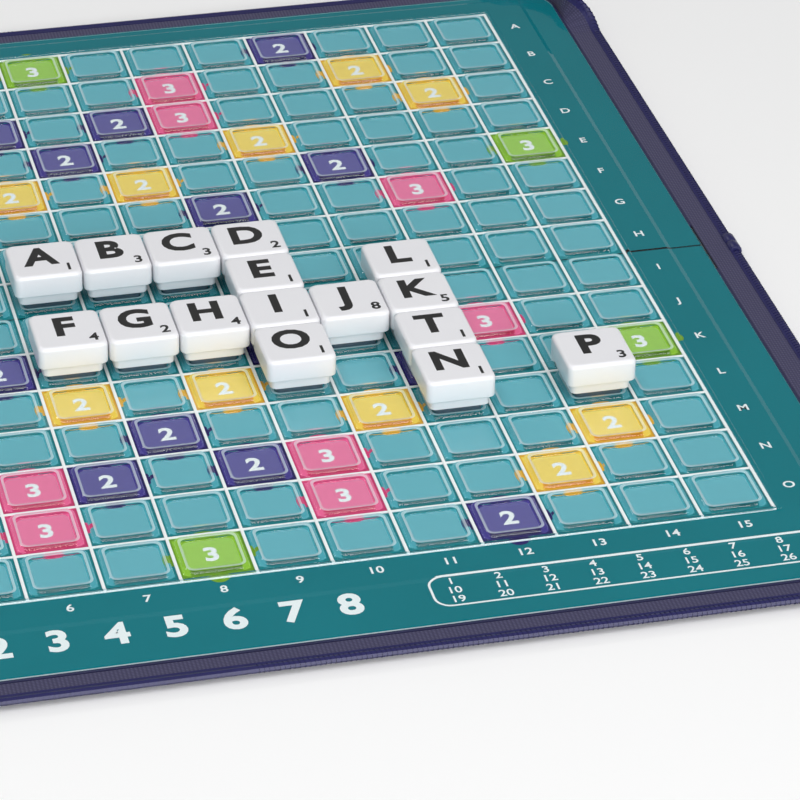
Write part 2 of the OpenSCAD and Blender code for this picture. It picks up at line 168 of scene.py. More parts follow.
# Materials
def makeMaterials():
    made = {}

    # Crystal polystyrene, injection moulded: glass-clear, lamps shine through to the print.
    # Each finish has its name, its roughness and its share of milky veil
    finishes = (("clear", "clearPolystyrene", 0.03, 0), ("dish", "mattedPolystyrene", 0.28, 0.07),
                ("satin", "satinPolystyrene", 0.3, 0.4))
    for key, name, roughness, veilShare in finishes:
        m, tree, shader = newMaterial(name, Base_Color=linear("#f6fcfd"), Roughness=roughness,
                                      IOR=1.49, Transmission_Weight=1.0)
        addBump(tree, shader, objectNoise(tree, 9 * mm), 0.04, 0.4 * mm)
        path = addNode(tree, "ShaderNodeLightPath").outputs
        light = addNode(tree, "ShaderNodeMath", {0: path["Is Shadow Ray"], 1: path["Is Diffuse Ray"]},
                        operation="MAXIMUM")
        through = addNode(tree, "ShaderNodeBsdfTransparent", {"Color": linear("#f6fcfd")})
        mixed = addNode(tree, "ShaderNodeMixShader", {0: light.outputs[0], 1: shader.outputs[0],
                                                      2: through.outputs[0]})
        tree.links.new(mixed.outputs[0], tree.nodes["Material Output"].inputs["Surface"])
        if veilShare:
            # The mould is textured on each dish and rim, which gives them a milky veil
            veil = addNode(tree, "ShaderNodeBsdfDiffuse", {"Color": linear("#e8f6fa")})
            veiled = addNode(tree, "ShaderNodeMixShader", {0: veilShare, 1: shader.outputs[0],
                                                           2: veil.outputs[0]})
            tree.links.new(veiled.outputs[0], mixed.inputs[1])
        made[key] = m

    # Printed card under the clear sheet: flat ink without a gloss of its own. Each kind of square has a pale
    # ink and a darker ink: "field" for the plain squares and the "Rim" inks for the coloured ones. The
    # darker ink makes the narrow frame and the tabs, and the wide strip of it at the front of each square is
    # painted shade of the block's front wall
    inks = {
        "margin": ("marginInk", "#0e747d", "#137d87"),
        "field": ("fieldInk", "#1c868d", "#218c93"),
        "cell": ("cellInk", "#52acb9", "#5ab3c0"),
        "navyRim": ("navyRimInk", "#2c2463", "#332a6c"),
        "navy": ("navyInk", "#4a3f8d", "#524799"),
        "pinkRim": ("pinkRimInk", "#df3f78", "#e64a82"),
        "pink": ("pinkInk", "#f4699a", "#f874a3"),
        "yellowRim": ("yellowRimInk", "#eeb02e", "#f3b838"),
        "yellow": ("yellowInk", "#fdd651", "#ffdd62"),
        "greenRim": ("greenRimInk", "#74a228", "#7cab2e"),
        "green": ("greenInk", "#96c838", "#a0d144"),
        "white": ("whiteInk", "#f2f6f6", "#fbfdfd"),
    }
    for key, (name, dark, light) in inks.items():
        m, tree, shader = newMaterial(name, Roughness=0.6, Specular_IOR_Level=0.0)
        tint(tree, shader, objectNoise(tree, 30 * mm, 3.0), dark, light)
        made[key] = m

    # White foil stamped on the moulded beads: satin
    m, tree, shader = newMaterial("whiteFoil", Roughness=0.35)
    tint(tree, shader, objectNoise(tree, 6 * mm), "#f0f5f6", "#fafdfd")
    made["line"] = m

    # Moulded white ABS: soft gloss, very fine orange peel
    m, tree, shader = newMaterial("mouldedAbs", Roughness=0.28, IOR=1.5, Coat_Weight=0.15)
    tint(tree, shader, objectNoise(tree, 12 * mm), "#ebebef", "#f1f1f4")
    addBump(tree, shader, objectNoise(tree, 0.5 * mm), 0.05, 0.1 * mm)
    made["tile"] = m

    # Plug under the tile: glossy, and dark grey as painted shade of the gap under the tile
    m, tree, shader = newMaterial("paintedShadePlug", Roughness=0.12, IOR=1.59, Coat_Weight=0.2)
    tint(tree, shader, objectNoise(tree, 12 * mm), "#41525f", "#4d5f6c")
    made["plug"] = m

    # Hot-stamped black foil: nearly flat black
    m, tree, shader = newMaterial("stampedBlack", Roughness=0.42)
    tint(tree, shader, objectNoise(tree, 3 * mm), "#191919", "#222222")
    made["black"] = m

    # Coated polyester cloth of the case: fine plain weave with a low gloss
    m, tree, shader = newMaterial("coatedPolyester", Roughness=0.55)
    tint(tree, shader, objectNoise(tree, 4 * mm, 4.0), "#1b1a40", "#25244f")
    where = addNode(tree, "ShaderNodeTexCoord").outputs["Object"]
    addBump(tree, shader, weave(tree, where, 0.6 * mm, 0.6 * mm), 0.5, 0.1 * mm)
    made["cloth"] = m

    # Cut edge of the laminated card: bare pale pulp
    m, tree, shader = newMaterial("cardCore", Roughness=0.85)
    tint(tree, shader, objectNoise(tree, 0.8 * mm, 5.0), "#a3b3b9", "#b7c6cb")
    made["core"] = m

    # Woven polyester zip tape: ribs across its width every 0.7 mm, read from the piece's own UV map. The
    # tape is drawn darker in the hollows between the ribs, which is painted shade
    m, tree, shader = newMaterial("wovenTape", Roughness=0.8, Sheen_Weight=0.08)
    uv = addNode(tree, "ShaderNodeUVMap", uv_map="tapeMap").outputs[0]
    ribs = weave(tree, uv, 0.7, 0.45)
    tint(tree, shader, ribs, "#312f50", "#4e4b6e")
    addBump(tree, shader, ribs, 0.6, 0.12 * mm)
    made["tape"] = m

    # Nylon monofilament coil: dark, slightly glossy
    m, tree, shader = newMaterial("nylonCoil", Roughness=0.38)
    tint(tree, shader, objectNoise(tree, 2 * mm), "#17164a", "#1f1e5a")
    made["coil"] = m

    # Zinc slider with baked enamel: hard gloss, a little paler in spots
    m, tree, shader = newMaterial("enamelledZinc", Roughness=0.3, Coat_Weight=0.3, Metallic=0.2)
    tint(tree, shader, objectNoise(tree, 1.5 * mm, 4.0), "#25254f", "#34345f")
    made["slider"] = m
    return made


materials = makeMaterials()
print("materials made")


# Mesh helpers
def storeMesh(bm, name):
    mesh = bpy.data.meshes.new(name)
    bm.to_mesh(mesh)
    bm.free()
    return mesh


def finishMesh(bm, name, materialKeys, body, smooth=35):
    mesh = storeMesh(bm, name)
    for key in materialKeys:
        mesh.materials.append(materials[key])
    piece = bpy.data.objects.new(name, mesh)
    bpy.context.collection.objects.link(piece)
    if smooth:
        mesh.shade_smooth()
        mesh.set_sharp_from_angle(angle=math.radians(smooth))
    if body:
        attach(piece, body)
    return piece


def madeVerts(made):
    return [g for g in made if isinstance(g, bmesh.types.BMVert)]


def madeRing(made):
    # The edges between the new corners of an extrusion
    corners = set(madeVerts(made))
    return [g for g in made if isinstance(g, bmesh.types.BMEdge) and corners.issuperset(g.verts)]


def arc(centre, radius, start, end, steps):
    # Points of an arc in a section plane, its angles in degrees from the first axis
    angles = [math.radians(start + (end - start) * i / steps) for i in range(steps + 1)]
    return [(centre[0] + radius * math.cos(a), centre[1] + radius * math.sin(a)) for a in angles]


# Clear trays: one block made from its section, repeated over the grid, then stepped margins round it.
# "sunk" is how deep the sheet is set into the card, and "support" is a narrow ring that keeps flats flat
tray = {
    "sunk": 0.02 * mm, "sheet": 0.5 * mm, "groove": 1.5 * mm, "footRadius": 0.06 * mm, "footSteps": 2,
    "cornerRadius": 1.5 * mm, "cornerSegments": 5, "draft": 0.02 * mm, "shoulder": 0.8 * mm,
    "shoulderSteps": 7, "clearPoints": 7, "rim": 0.2 * mm, "dishEdge": 0.12 * mm, "edgeSteps": 3,
    "dishFillet": 0.2 * mm, "dishDepth": 0.8 * mm, "support": 0.04 * mm,
    "kerbGap": 0.3 * mm, "kerbWidth": 0.9 * mm, "kerbHeight": 1.2 * mm, "kerbEdge": 0.3 * mm,
    "bandWidth": 8.9 * mm, "bandRise": 0.3 * mm, "bandSlope": 0.9 * mm, "rimLeast": 3 * mm,
    "outerRadius": 7 * mm, "outerSteps": 12, "flatArea": 3 * mm * mm,
}


def blockSection():
    # Way in from the middle of the groove, height above the sheet, and finish:
    # 0 polished, 1 matted, 2 satin
    t = tray
    top = blockZ - printZ - t["sheet"]
    wall = t["groove"] / 2 + t["footRadius"]
    flat = wall + t["draft"] + t["shoulder"]
    dish = flat + t["rim"]
    inner = dish + t["dishEdge"]
    low = inner + t["dishFillet"]
    floor = top - t["dishDepth"]
    steps = t["edgeSteps"]
    foot = arc((t["groove"] / 2, t["footRadius"]), t["footRadius"], -90, 0, t["footSteps"])
    shoulder = arc((flat, top - t["shoulder"]), t["shoulder"], 180, 90, t["shoulderSteps"])
    edge = [(flat + t["support"], top)] + arc((dish, top - t["dishEdge"]), t["dishEdge"], 90, 0, steps)
    fillet = arc((low, floor + t["dishFillet"]), t["dishFillet"], 180, 270, steps)
    clear = t["clearPoints"]
    points = [(x, z, 0) for x, z in foot + shoulder[:clear]]
    points += [(x, z, 2) for x, z in shoulder[clear:] + edge]
    return points + [(x, z, 0) for x, z in fillet] + [(low + t["support"], floor, 1)]


def growRings(bm, face, reach, rings):
    # Raise one face ring by ring: each ring is its half width, its height and its finish
    for halfWidth, height, finish in rings:
        ring = bmesh.ops.inset_individual(bm, faces=[face], thickness=0)["faces"]
        bmesh.ops.scale(bm, vec=(halfWidth / reach, halfWidth / reach, 1), verts=face.verts)
        bmesh.ops.translate(bm, vec=(0, 0, height - face.verts[0].co.z), verts=face.verts)
        for f in ring:
            f.material_index = finish
        reach = halfWidth


def makeBlock(bm, z):
    half = board["pitch"] / 2
    bmesh.ops.create_grid(bm, x_segments=1, y_segments=1, size=half)
    cell = bm.faces[:][0]
    section = blockSection()
    reach = half - section[0][0] + tray["support"]
    bmesh.ops.inset_individual(bm, faces=[cell], thickness=half - reach, use_even_offset=True)
    bmesh.ops.bevel(bm, geom=list(cell.verts), affect="VERTICES", offset=tray["cornerRadius"],
                    segments=tray["cornerSegments"], profile=0.5, material=-1)
    top = max(bm.faces, key=lambda f: f.calc_area())
    growRings(bm, top, reach, [(half - inward, height, finish) for inward, height, finish in section])
    top.material_index = 1
    bmesh.ops.translate(bm, vec=(0, 0, z), verts=bm.verts)


def repeat(bm, step, times):
    first = bm.verts[:] + bm.edges[:] + bm.faces[:]
    for i in range(1, times):
        made = bmesh.ops.duplicate(bm, geom=first)["geom"]
        bmesh.ops.translate(bm, vec=Vector(step) * i, verts=madeVerts(made))


def pushOut(bm, edges, sideways, endways, rise):
    # Extrude the walked edge: its two sides go out, its end goes out, and all of it goes up
    made = bmesh.ops.extrude_edge_only(bm, edges=edges)["geom"]
    verts = madeVerts(made)
    lowX = min(v.co.x for v in verts)
    highX = max(v.co.x for v in verts)
    lowY = min(v.co.y for v in verts)
    for v in verts:
        if v.co.x < lowX + samePlace:
            v.co.x -= sideways
        if v.co.x > highX - samePlace:
            v.co.x += sideways
        if v.co.y < lowY + samePlace:
            v.co.y -= endways
        v.co.z += rise
    return madeRing(made)


def kerbSection():
    # Way out from the grid and height above the sheet: up the kerb, over it, and down to the band
    t = tray
    height = t["kerbHeight"] - t["sheet"]
    r = t["kerbEdge"]
    far = t["kerbGap"] + t["kerbWidth"]
    points = [(t["kerbGap"], 0)] + arc((t["kerbGap"] + r, height - r), r, 180, 90, t["edgeSteps"])
    return points + arc((far - r, height - r), r, 90, 0, t["edgeSteps"]) + [(far, t["bandRise"])]


def addMargins(bm, marginEnd):
    # Walk the outer edge outwards over the kerb and the band to the rim of the sheet
    t = tray
    edges = [e for e in bm.edges if e.is_boundary and not all(abs(v.co.y) < samePlace for v in e.verts)]
    was = (0, 0)
    for outward, rise in kerbSection():
        edges = pushOut(bm, edges, outward - was[0], outward - was[0], rise - was[1])
        was = (outward, rise)
    bandEnd = min(t["bandWidth"], marginEnd - t["rimLeast"])
    edges = pushOut(bm, edges, t["bandWidth"] - was[0], bandEnd - was[0], 0)
    edges = pushOut(bm, edges, t["bandSlope"], t["bandSlope"], -t["bandRise"])
    sideLeft = cardHalfW - gridHalfW - t["bandWidth"] - t["bandSlope"]
    endLeft = marginEnd - bandEnd - t["bandSlope"]
    pushOut(bm, edges, sideLeft, endLeft, 0)


def roundOuterCorners(bm):
    radius = tray["outerRadius"]
    for side in (-1, 1):
        centre = Vector((side * (cardHalfW - radius), -halfDepth + radius, 0))
        for step in range(1, tray["outerSteps"]):
            a = math.radians(90 * step / tray["outerSteps"])
            out = Vector((side * math.cos(a), -math.sin(a), 0))
            near = [f for f in bm.faces if any((v.co - centre).dot(out) > radius for v in f.verts)]
            geom = list(dict.fromkeys(v for f in near for v in f.verts))
            geom += list(dict.fromkeys(e for f in near for e in f.edges)) + near
            bmesh.ops.bisect_plane(bm, geom=geom, plane_co=centre + out * radius, plane_no=out,
                                   clear_outer=True)
    bmesh.ops.remove_doubles(bm, verts=bm.verts, dist=sameCorner)


def closeUnder(bm):
    # Straighten the fold side, then take the whole outer edge down and close the underside
    for v in bm.verts:
        if v.co.y > -foldHalfGap - sameCorner:
            v.co.y = -foldHalfGap
    outer = [e for e in bm.edges if e.is_boundary]
    made = bmesh.ops.extrude_edge_only(bm, edges=outer)["geom"]
    for v in madeVerts(made):
        v.co.z = printZ - tray["sunk"]
    bmesh.ops.contextual_create(bm, geom=madeRing(made))


def makeTray(half, rows, towardsBack):
    pitch = board["pitch"]
    bm = bmesh.new()
    makeBlock(bm, printZ + tray["sheet"])
    bmesh.ops.translate(bm, vec=(-(board["columns"] - 1) * pitch / 2, -pitch / 2, 0), verts=bm.verts)
    repeat(bm, (pitch, 0, 0), board["columns"])
    repeat(bm, (0, -pitch, 0), rows)
    bmesh.ops.remove_doubles(bm, verts=bm.verts, dist=samePlace)
    addMargins(bm, halfDepth - rows * pitch)
    roundOuterCorners(bm)
    closeUnder(bm)
    if towardsBack:
        bmesh.ops.scale(bm, vec=(1, -1, 1), verts=bm.verts)
    bmesh.ops.recalc_face_normals(bm, faces=bm.faces)
    piece = finishMesh(bm, half + "Tray", ["clear", "dish", "satin"], half + "_half",
                       smooth=32)
    for face in piece.data.polygons:
        # Wide faces keep their own normal, so what they mirror stays straight
        if face.area > tray["flatArea"]:
            face.use_smooth = False
    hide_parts(half + "_clear_tray")
    return piece


frontTray = makeTray("front", board["frontRows"], False)
backTray = makeTray("back", board["backRows"], True)
print("trays made", len(frontTray.data.polygons), len(backTray.data.polygons))

# Solids that show as they are. The boards are wrapped in the cloth, which shows at the fold
solidLooks = {"skin": "cloth", "stiffener": "cloth", "card": "margin", "slider": "slider", "pull": "slider"}
for nodeName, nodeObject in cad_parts.items():
    for word, key in solidLooks.items():
        if word in nodeName:
            nodeObject.data.materials.clear()
            nodeObject.data.materials.append(materials[key])
print("solids dressed")


# Print on the cards: "rim" and "frontRim" are the dark frame that is left round the pale print. The wider
# front part of that frame is painted shade of the block's front wall, and "sideBand" and "sideRim" place a
# pale band at both ends of that painted shade
printing = {
    "lift": 0.012 * mm, "line": 0.58 * mm, "rowLine": 0.42 * mm, "bead": 0.2 * mm, "beadRoot": 0.1 * mm,
    "tab": 1.9 * mm, "tabSegments": 14, "rim": 0.75 * mm, "frontRim": 4.85 * mm,
    "sideBand": 1.5 * mm, "sideRim": 1.7 * mm,
    "inlayHalf": 4.8 * mm, "inlayRadius": 1.1 * mm, "inlayDrop": 0.05 * mm, "cellOver": 0.31 * mm,
    "numberHeight": 4.2 * mm, "numberBold": 0.2 * mm,
    "letterHeight": 2.1 * mm, "letterBold": 0.06 * mm, "letterOut": 5.2 * mm,
    "coreWidth": 0.12 * mm, "coreHeight": 0.15 * mm,
}
inkZ = printZ + printing["lift"]
inlayZ = blockZ - tray["dishDepth"] - printing["inlayDrop"]


def cellCentre(column, row):
    # Columns count from 1 at the left and rows from 1 at the back. The fold is in front of the back rows
    x = (column - (board["columns"] + 1) / 2) * board["pitch"]
    return Vector((x, (board["backRows"] + 0.5 - row) * board["pitch"], 0))


def flatInk(name, half, key, shapes, z):
    # shapes is a list of functions; each draws flat faces, at z 0 unless they belong to a raised layer
    bm = bmesh.new()
    for draw in shapes:
        draw(bm)
    bmesh.ops.translate(bm, vec=(0, 0, z), verts=bm.verts)
    return finishMesh(bm, name, [key], half + "_half", smooth=0)


def sheetShape(centre, width, depth):
    def draw(bm):
        made = bmesh.ops.create_grid(bm, x_segments=1, y_segments=1, size=0.5)["verts"]
        bmesh.ops.scale(bm, vec=(width, depth, 1), verts=made)
        bmesh.ops.translate(bm, vec=centre, verts=made)
    return draw


def roundedShape(centre, width, radius):
    def draw(bm):
        made = bmesh.ops.create_grid(bm, x_segments=1, y_segments=1, size=width / 2)["verts"]
        bmesh.ops.translate(bm, vec=centre, verts=made)
        bmesh.ops.bevel(bm, geom=made, affect="VERTICES", offset=radius, segments=4, profile=0.5,
                        material=-1)
    return draw


def tabShape(centre, radius, outward):
    # Half a disc that grows outwards from the side of a square
    def draw(bm):
        segments = printing["tabSegments"]
        made = bmesh.ops.create_circle(bm, cap_ends=True, segments=segments, radius=radius)["verts"]
        face = made[0].link_faces[0]
        cut = bmesh.ops.bisect_plane(bm, geom=made + list(face.edges) + [face], plane_co=(0, 0, 0),
                                     plane_no=outward, clear_inner=True)["geom"]
        bmesh.ops.translate(bm, vec=centre, verts=madeVerts(cut))
    return draw


# A quarter of the pattern, as columns and rows, which is mirrored both ways
bonusQuarter = {
    "green": [(8, 15), (15, 11), (1, 11)],
    "yellow": [(14, 13), (13, 14), (11, 12), (9, 11)],
    "pink": [(10, 14), (13, 10), (6, 13)],
    "navy": [(12, 15), (8, 12), (7, 13), (10, 10), (12, 11)],
}
squareNumbers = {"green": "3", "yellow": "2", "pink": "3", "navy": "2"}
rowLetters = "ABCDEFGHIJKLMNO"


def bonusCells():
    cells = {}
    for key, spots in bonusQuarter.items():
        for column, row in spots:
            for c in (column, board["columns"] + 1 - column):
                for r in (row, allRows + 1 - row):
                    cells[(c, r)] = key
    return cells


bonus = bonusCells()

# Lettering: the share of its size that a capital is high, and how round and thick it is drawn
lettering = {"capShare": 0.72, "curveSteps": 4, "thickness": 0.004 * mm}


def textMesh(body, height, bold, spacing):
    curve = bpy.data.curves.new("words", "FONT")
    curve.body = body
    curve.size = height / lettering["capShare"]
    curve.offset = bold
    curve.space_character = spacing
    curve.align_x = "CENTER"
    curve.align_y = "CENTER"
    curve.resolution_u = lettering["curveSteps"]
    curve.extrude = lettering["thickness"]
    holder = bpy.data.objects.new("words", curve)
    bpy.context.collection.objects.link(holder)
    bpy.context.view_layer.update()
    graph = bpy.context.evaluated_depsgraph_get()
    mesh = bpy.data.meshes.new_from_object(holder.evaluated_get(graph))
    bpy.data.objects.remove(holder)
    bpy.data.curves.remove(curve)
    return mesh


textStore = {}


def addText(bm, body, height, place, bold, spacing=1.0):
    key = (body, height, bold, spacing)
    if key not in textStore:
        textStore[key] = textMesh(*key)
    before = set(bm.verts)
    bm.from_mesh(textStore[key])
    bmesh.ops.translate(bm, vec=place, verts=[v for v in bm.verts if v not in before])


# Front margin: column numbers, a bold number track, and a ruled box of small numbers, whose rows stand
# at (row + boxFirst) of the boxRows + boxSpare equal steps down the box
margin = {
    "columnY": -4.1 * mm, "columnHeight": 2.1 * mm, "columnBold": 0.06 * mm, "columnSpacing": 1.05,
    "track": 8, "trackStep": 10.35 * mm, "trackStart": -51.8 * mm, "trackY": -109.4 * mm,
    "trackHeight": 6.2 * mm, "trackBold": 0.3 * mm,
    "boxLow": (35.2 * mm, -113.6 * mm), "boxHigh": (113.5 * mm, -104 * mm), "boxRadius": 3 * mm,
    "boxLine": 0.45 * mm, "boxColumns": 9, "boxRows": 3, "boxFirst": 0.7, "boxSpare": 0.4,
    "boxTextHeight": 2 * mm, "boxBold": 0.04 * mm,
}


def roundedBox(bm, low, high, radius, line, z):
    made = bmesh.ops.create_grid(bm, x_segments=1, y_segments=1, size=0.5)["verts"]
    bmesh.ops.scale(bm, vec=(high[0] - low[0], high[1] - low[1], 1), verts=made)
    bmesh.ops.translate(bm, vec=((high[0] + low[0]) / 2, (high[1] + low[1]) / 2, z), verts=made)
    rounded = bmesh.ops.bevel(bm, geom=made, affect="VERTICES", offset=radius, segments=6, profile=0.5,
                              material=-1)
    inner = max((f for v in rounded["verts"] for f in v.link_faces), key=lambda f: f.calc_area())
    bmesh.ops.inset_individual(bm, faces=[inner], thickness=line, use_even_offset=True)
    bmesh.ops.delete(bm, geom=[inner], context="FACES")


def marginPrint(bm, z):
    m = margin
    edgeY = -board["frontRows"] * board["pitch"]
    for column in range(1, board["columns"] + 1):
        place = Vector((cellCentre(column, 1).x, edgeY + m["columnY"], z))
        addText(bm, str(column), m["columnHeight"], place, m["columnBold"], m["columnSpacing"])
    for i in range(m["track"]):
        place = Vector((m["trackStart"] + i * m["trackStep"], m["trackY"], z))
        addText(bm, str(i + 1), m["trackHeight"], place, m["trackBold"])
    low, high = m["boxLow"], m["boxHigh"]
    roundedBox(bm, low, high, m["boxRadius"], m["boxLine"], z)
    for row in range(m["boxRows"]):
        for column in range(m["boxColumns"]):
            x = low[0] + (column + 0.5) * (high[0] - low[0]) / m["boxColumns"]
            y = high[1] - (row + m["boxFirst"]) * (high[1] - low[1]) / (m["boxRows"] + m["boxSpare"])
            number = row * m["boxColumns"] + column + 1
            addText(bm, str(number), m["boxTextHeight"], Vector((x, y, z)), m["boxBold"])


def squarePrint(centre):
    # Pale print of a square, set back from its front side, with a narrow band at the left and the right of
    # the dark strip that is left there, and a pale inlay just under the floor of the dish. The dark strip is
    # painted shade of the block's front wall
    p = printing
    pitch = board["pitch"]
    setBack = Vector((0, (p["frontRim"] - p["rim"]) / 2, 0))
    shapes = [sheetShape(centre + setBack, pitch - 2 * p["rim"], pitch - p["rim"] - p["frontRim"])]
    bandX = pitch / 2 - p["rim"] - p["sideBand"] / 2
    bandY = (p["sideRim"] + p["frontRim"] - pitch) / 2
    for side in (-1, 1):
        place = centre + Vector((side * bandX, bandY, 0))
        shapes.append(sheetShape(place, p["sideBand"], p["frontRim"] - p["sideRim"]))
    inlayLift = Vector((0, 0, inlayZ - inkZ - 2 * p["lift"]))
    return shapes + [roundedShape(centre + inlayLift, 2 * p["inlayHalf"], p["inlayRadius"])]


def squareTabs(centre, column, row):
    # Tabs of a coloured square, left out towards another coloured square and across the fold
    pitch = board["pitch"]
    foldRows = {board["backRows"], board["backRows"] + 1}
    shapes = []
    for dx, dy in ((1, 0), (-1, 0), (0, 1), (0, -1)):
        if (column + dx, row - dy) in bonus or {row, row - dy} == foldRows:
            continue
        outward = Vector((dx, dy, 0))
        reach = outward * pitch / 2 + Vector((0, 0, 2 * printing["lift"]))
        shapes.append(tabShape(centre + reach, printing["tab"], outward))
    return shapes


def printSquares(half, rowRange):
    squares = {"cell": []}
    rims = {}
    for row in rowRange:
        for column in range(1, board["columns"] + 1):
            centre = cellCentre(column, row)
            colour = bonus.get((column, row), "cell")
            squares.setdefault(colour, []).extend(squarePrint(centre))
            # A coloured square is first drawn whole in its darker ink, with its tabs. The pale print covers
            # all of it except the frame and the strip in front, and that strip is painted shade
            if colour != "cell":
                whole = sheetShape(centre, board["pitch"], board["pitch"])
                rims.setdefault(colour, []).extend([whole] + squareTabs(centre, column, row))
    for colour, shapes in rims.items():
        flatInk(half + colour.title() + "RimInk", half, colour + "Rim", shapes, inkZ + printing["lift"])
    for colour, shapes in squares.items():
        flatInk(half + colour.title() + "Ink", half, colour, shapes, inkZ + 2 * printing["lift"])


def printLines(half, rows, fieldY, fieldDepth):
    # White lines between the squares, on low beads that stand in the grooves
    p = printing
    pitch = board["pitch"]
    bm = bmesh.new()
    beadTop = printZ + tray["sheet"] + p["bead"]
    tall = p["bead"] + p["beadRoot"]
    rowStep = math.copysign(pitch, fieldY)
    bars = [(-gridHalfW + i * pitch, fieldY, p["line"], fieldDepth, 0) for i in range(board["columns"] + 1)]
    for i in range(1, rows + 1):
        bars.append((0, i * rowStep, 2 * gridHalfW + p["line"], p["rowLine"], p["lift"]))
    for x, y, wide, long, lower in bars:
        made = bmesh.ops.create_cube(bm, size=1)["verts"]
        bmesh.ops.scale(bm, vec=(wide, long, tall), verts=made)
        bmesh.ops.translate(bm, vec=(x, y, beadTop - lower - tall / 2), verts=made)
    finishMesh(bm, half + "LineInk", ["line"], half + "_half", smooth=0)


def printWhite(half, rowRange):
    # Numbers on the inlays of the coloured squares, letters at both ends of each row, and the front margin
    p = printing
    bm = bmesh.new()
    whiteZ = inkZ + 3 * p["lift"] + lettering["thickness"]
    for (column, row), colour in bonus.items():
        if row in rowRange:
            place = cellCentre(column, row) + Vector((0, 0, inlayZ + p["lift"]))
            addText(bm, squareNumbers[colour], p["numberHeight"], place, p["numberBold"])
    for row in rowRange:
        for side in (-1, 1):
            place = Vector((side * (gridHalfW + p["letterOut"]), cellCentre(1, row).y, whiteZ))
            addText(bm, rowLetters[row - 1], p["letterHeight"], place, p["letterBold"])
    if half == "front":
        marginPrint(bm, whiteZ)
    finishMesh(bm, half + "WhiteInk", ["white"], half + "_half", smooth=0)


def printHalf(half, rowRange):
    over = printing["cellOver"]
    sign = -1 if half == "front" else 1
    depth = len(rowRange) * board["pitch"] + over - foldHalfGap
    middle = Vector((0, sign * (foldHalfGap + depth / 2), 0))
    field = sheetShape(middle, 2 * gridHalfW + 2 * over, depth)
    # The field is the darker teal under the plain squares, and the strip of it left at the front of each
    # square is painted shade
    flatInk(half + "FieldInk", half, "field", [field], inkZ)
    printSquares(half, rowRange)
    printLines(half, len(rowRange), middle.y, depth)
    printWhite(half, rowRange)


def makeCardCore(half, sign):
    # Pale cut edge of the card, which shows as a thin line round the board
    p = printing
    wide = p["coreWidth"]
    bm = bmesh.new()
    made = bmesh.ops.create_grid(bm, x_segments=1, y_segments=1, size=0.5)["verts"]
    bmesh.ops.scale(bm, vec=(2 * (cardHalfW + wide), halfDepth - foldHalfGap + 2 * wide, 1), verts=made)
    bmesh.ops.translate(bm, vec=(0, -(halfDepth + foldHalfGap) / 2, printZ), verts=made)
    outer = [v for v in made if v.co.y < -halfDepth / 2]
    bmesh.ops.bevel(bm, geom=outer, affect="VERTICES", offset=tray["outerRadius"] + wide,
                    segments=tray["outerSteps"], profile=0.5, material=-1)
    card = bm.faces[:][0]
    bmesh.ops.inset_individual(bm, faces=[card], thickness=wide, use_even_offset=True)
    foldSide = [f for f in bm.faces if all(v.co.y > -foldHalfGap - samePlace for v in f.verts)]
    bmesh.ops.delete(bm, geom=[card] + foldSide, context="FACES")
    for v in bm.verts:
        v.co.y = min(v.co.y, -foldHalfGap)
    lifted = bmesh.ops.extrude_face_region(bm, geom=bm.faces[:])["geom"]
    bmesh.ops.translate(bm, vec=(0, 0, p["coreHeight"]), verts=madeVerts(lifted))
    bmesh.ops.scale(bm, vec=(1, sign, 1), verts=bm.verts)
    bmesh.ops.recalc_face_normals(bm, faces=bm.faces)
    finishMesh(bm, half + "CardCore", ["core"], half + "_half", smooth=30)


printHalf("front", range(board["backRows"] + 1, allRows + 1))
printHalf("back", range(1, board["backRows"] + 1))
makeCardCore("front", 1)
makeCardCore("back", -1)
print("cards printed")


# Moulded tiles, from the plug up, with a letter and a number stamped on each
tile = {
    "plugHalf": 4.6 * mm, "plugCorner": 0.91 * mm, "cornerSegments": 5, "stand": 1.3 * mm,
    "foot": 2.1 * mm, "footInset": 0.9 * mm, "footEdge": 0.2 * mm, "lowEdge": 0.25 * mm, "lowSteps": 3,
    "topEdge": 0.8 * mm, "topSteps": 6, "support": 0.05 * mm, "stampLift": 0.008 * mm,
    "letterHeight": 6.5 * mm, "letterBold": 0.36 * mm, "letterAt": (-0.6 * mm, 0.7 * mm),
    "numberHeight": 2.6 * mm, "numberBold": 0.1 * mm, "numberAt": (4.4 * mm, -3.9 * mm),
}
tileLetters = "ABCDEFGHIJKLTNOP"
tileValues = "1332142418511113"


def tileRings(halfWidth, top):
    # Half width, height and material of each ring: 0 white, 1 the dark plug, which is painted shade
    t = tile
    footZ = blockZ + t["stand"]
    bodyZ = footZ + t["foot"]
    footHalf = halfWidth - t["footInset"]
    low, foot, edge = t["lowEdge"], t["footEdge"], t["topEdge"]
    rings = [(t["plugHalf"], footZ)]
    rings += arc((footHalf - foot, footZ + foot), foot, -90, 0, t["lowSteps"])
    rings += [(footHalf, bodyZ)]
    rings += arc((halfWidth - low, bodyZ + low), low, -90, 0, t["lowSteps"])
    rings += arc((halfWidth - edge, top - edge), edge, 0, 90, t["topSteps"])
    rings += [(halfWidth - edge - t["support"], top)]
    return [(x, z, 1 if z <= footZ else 0) for x, z in rings]


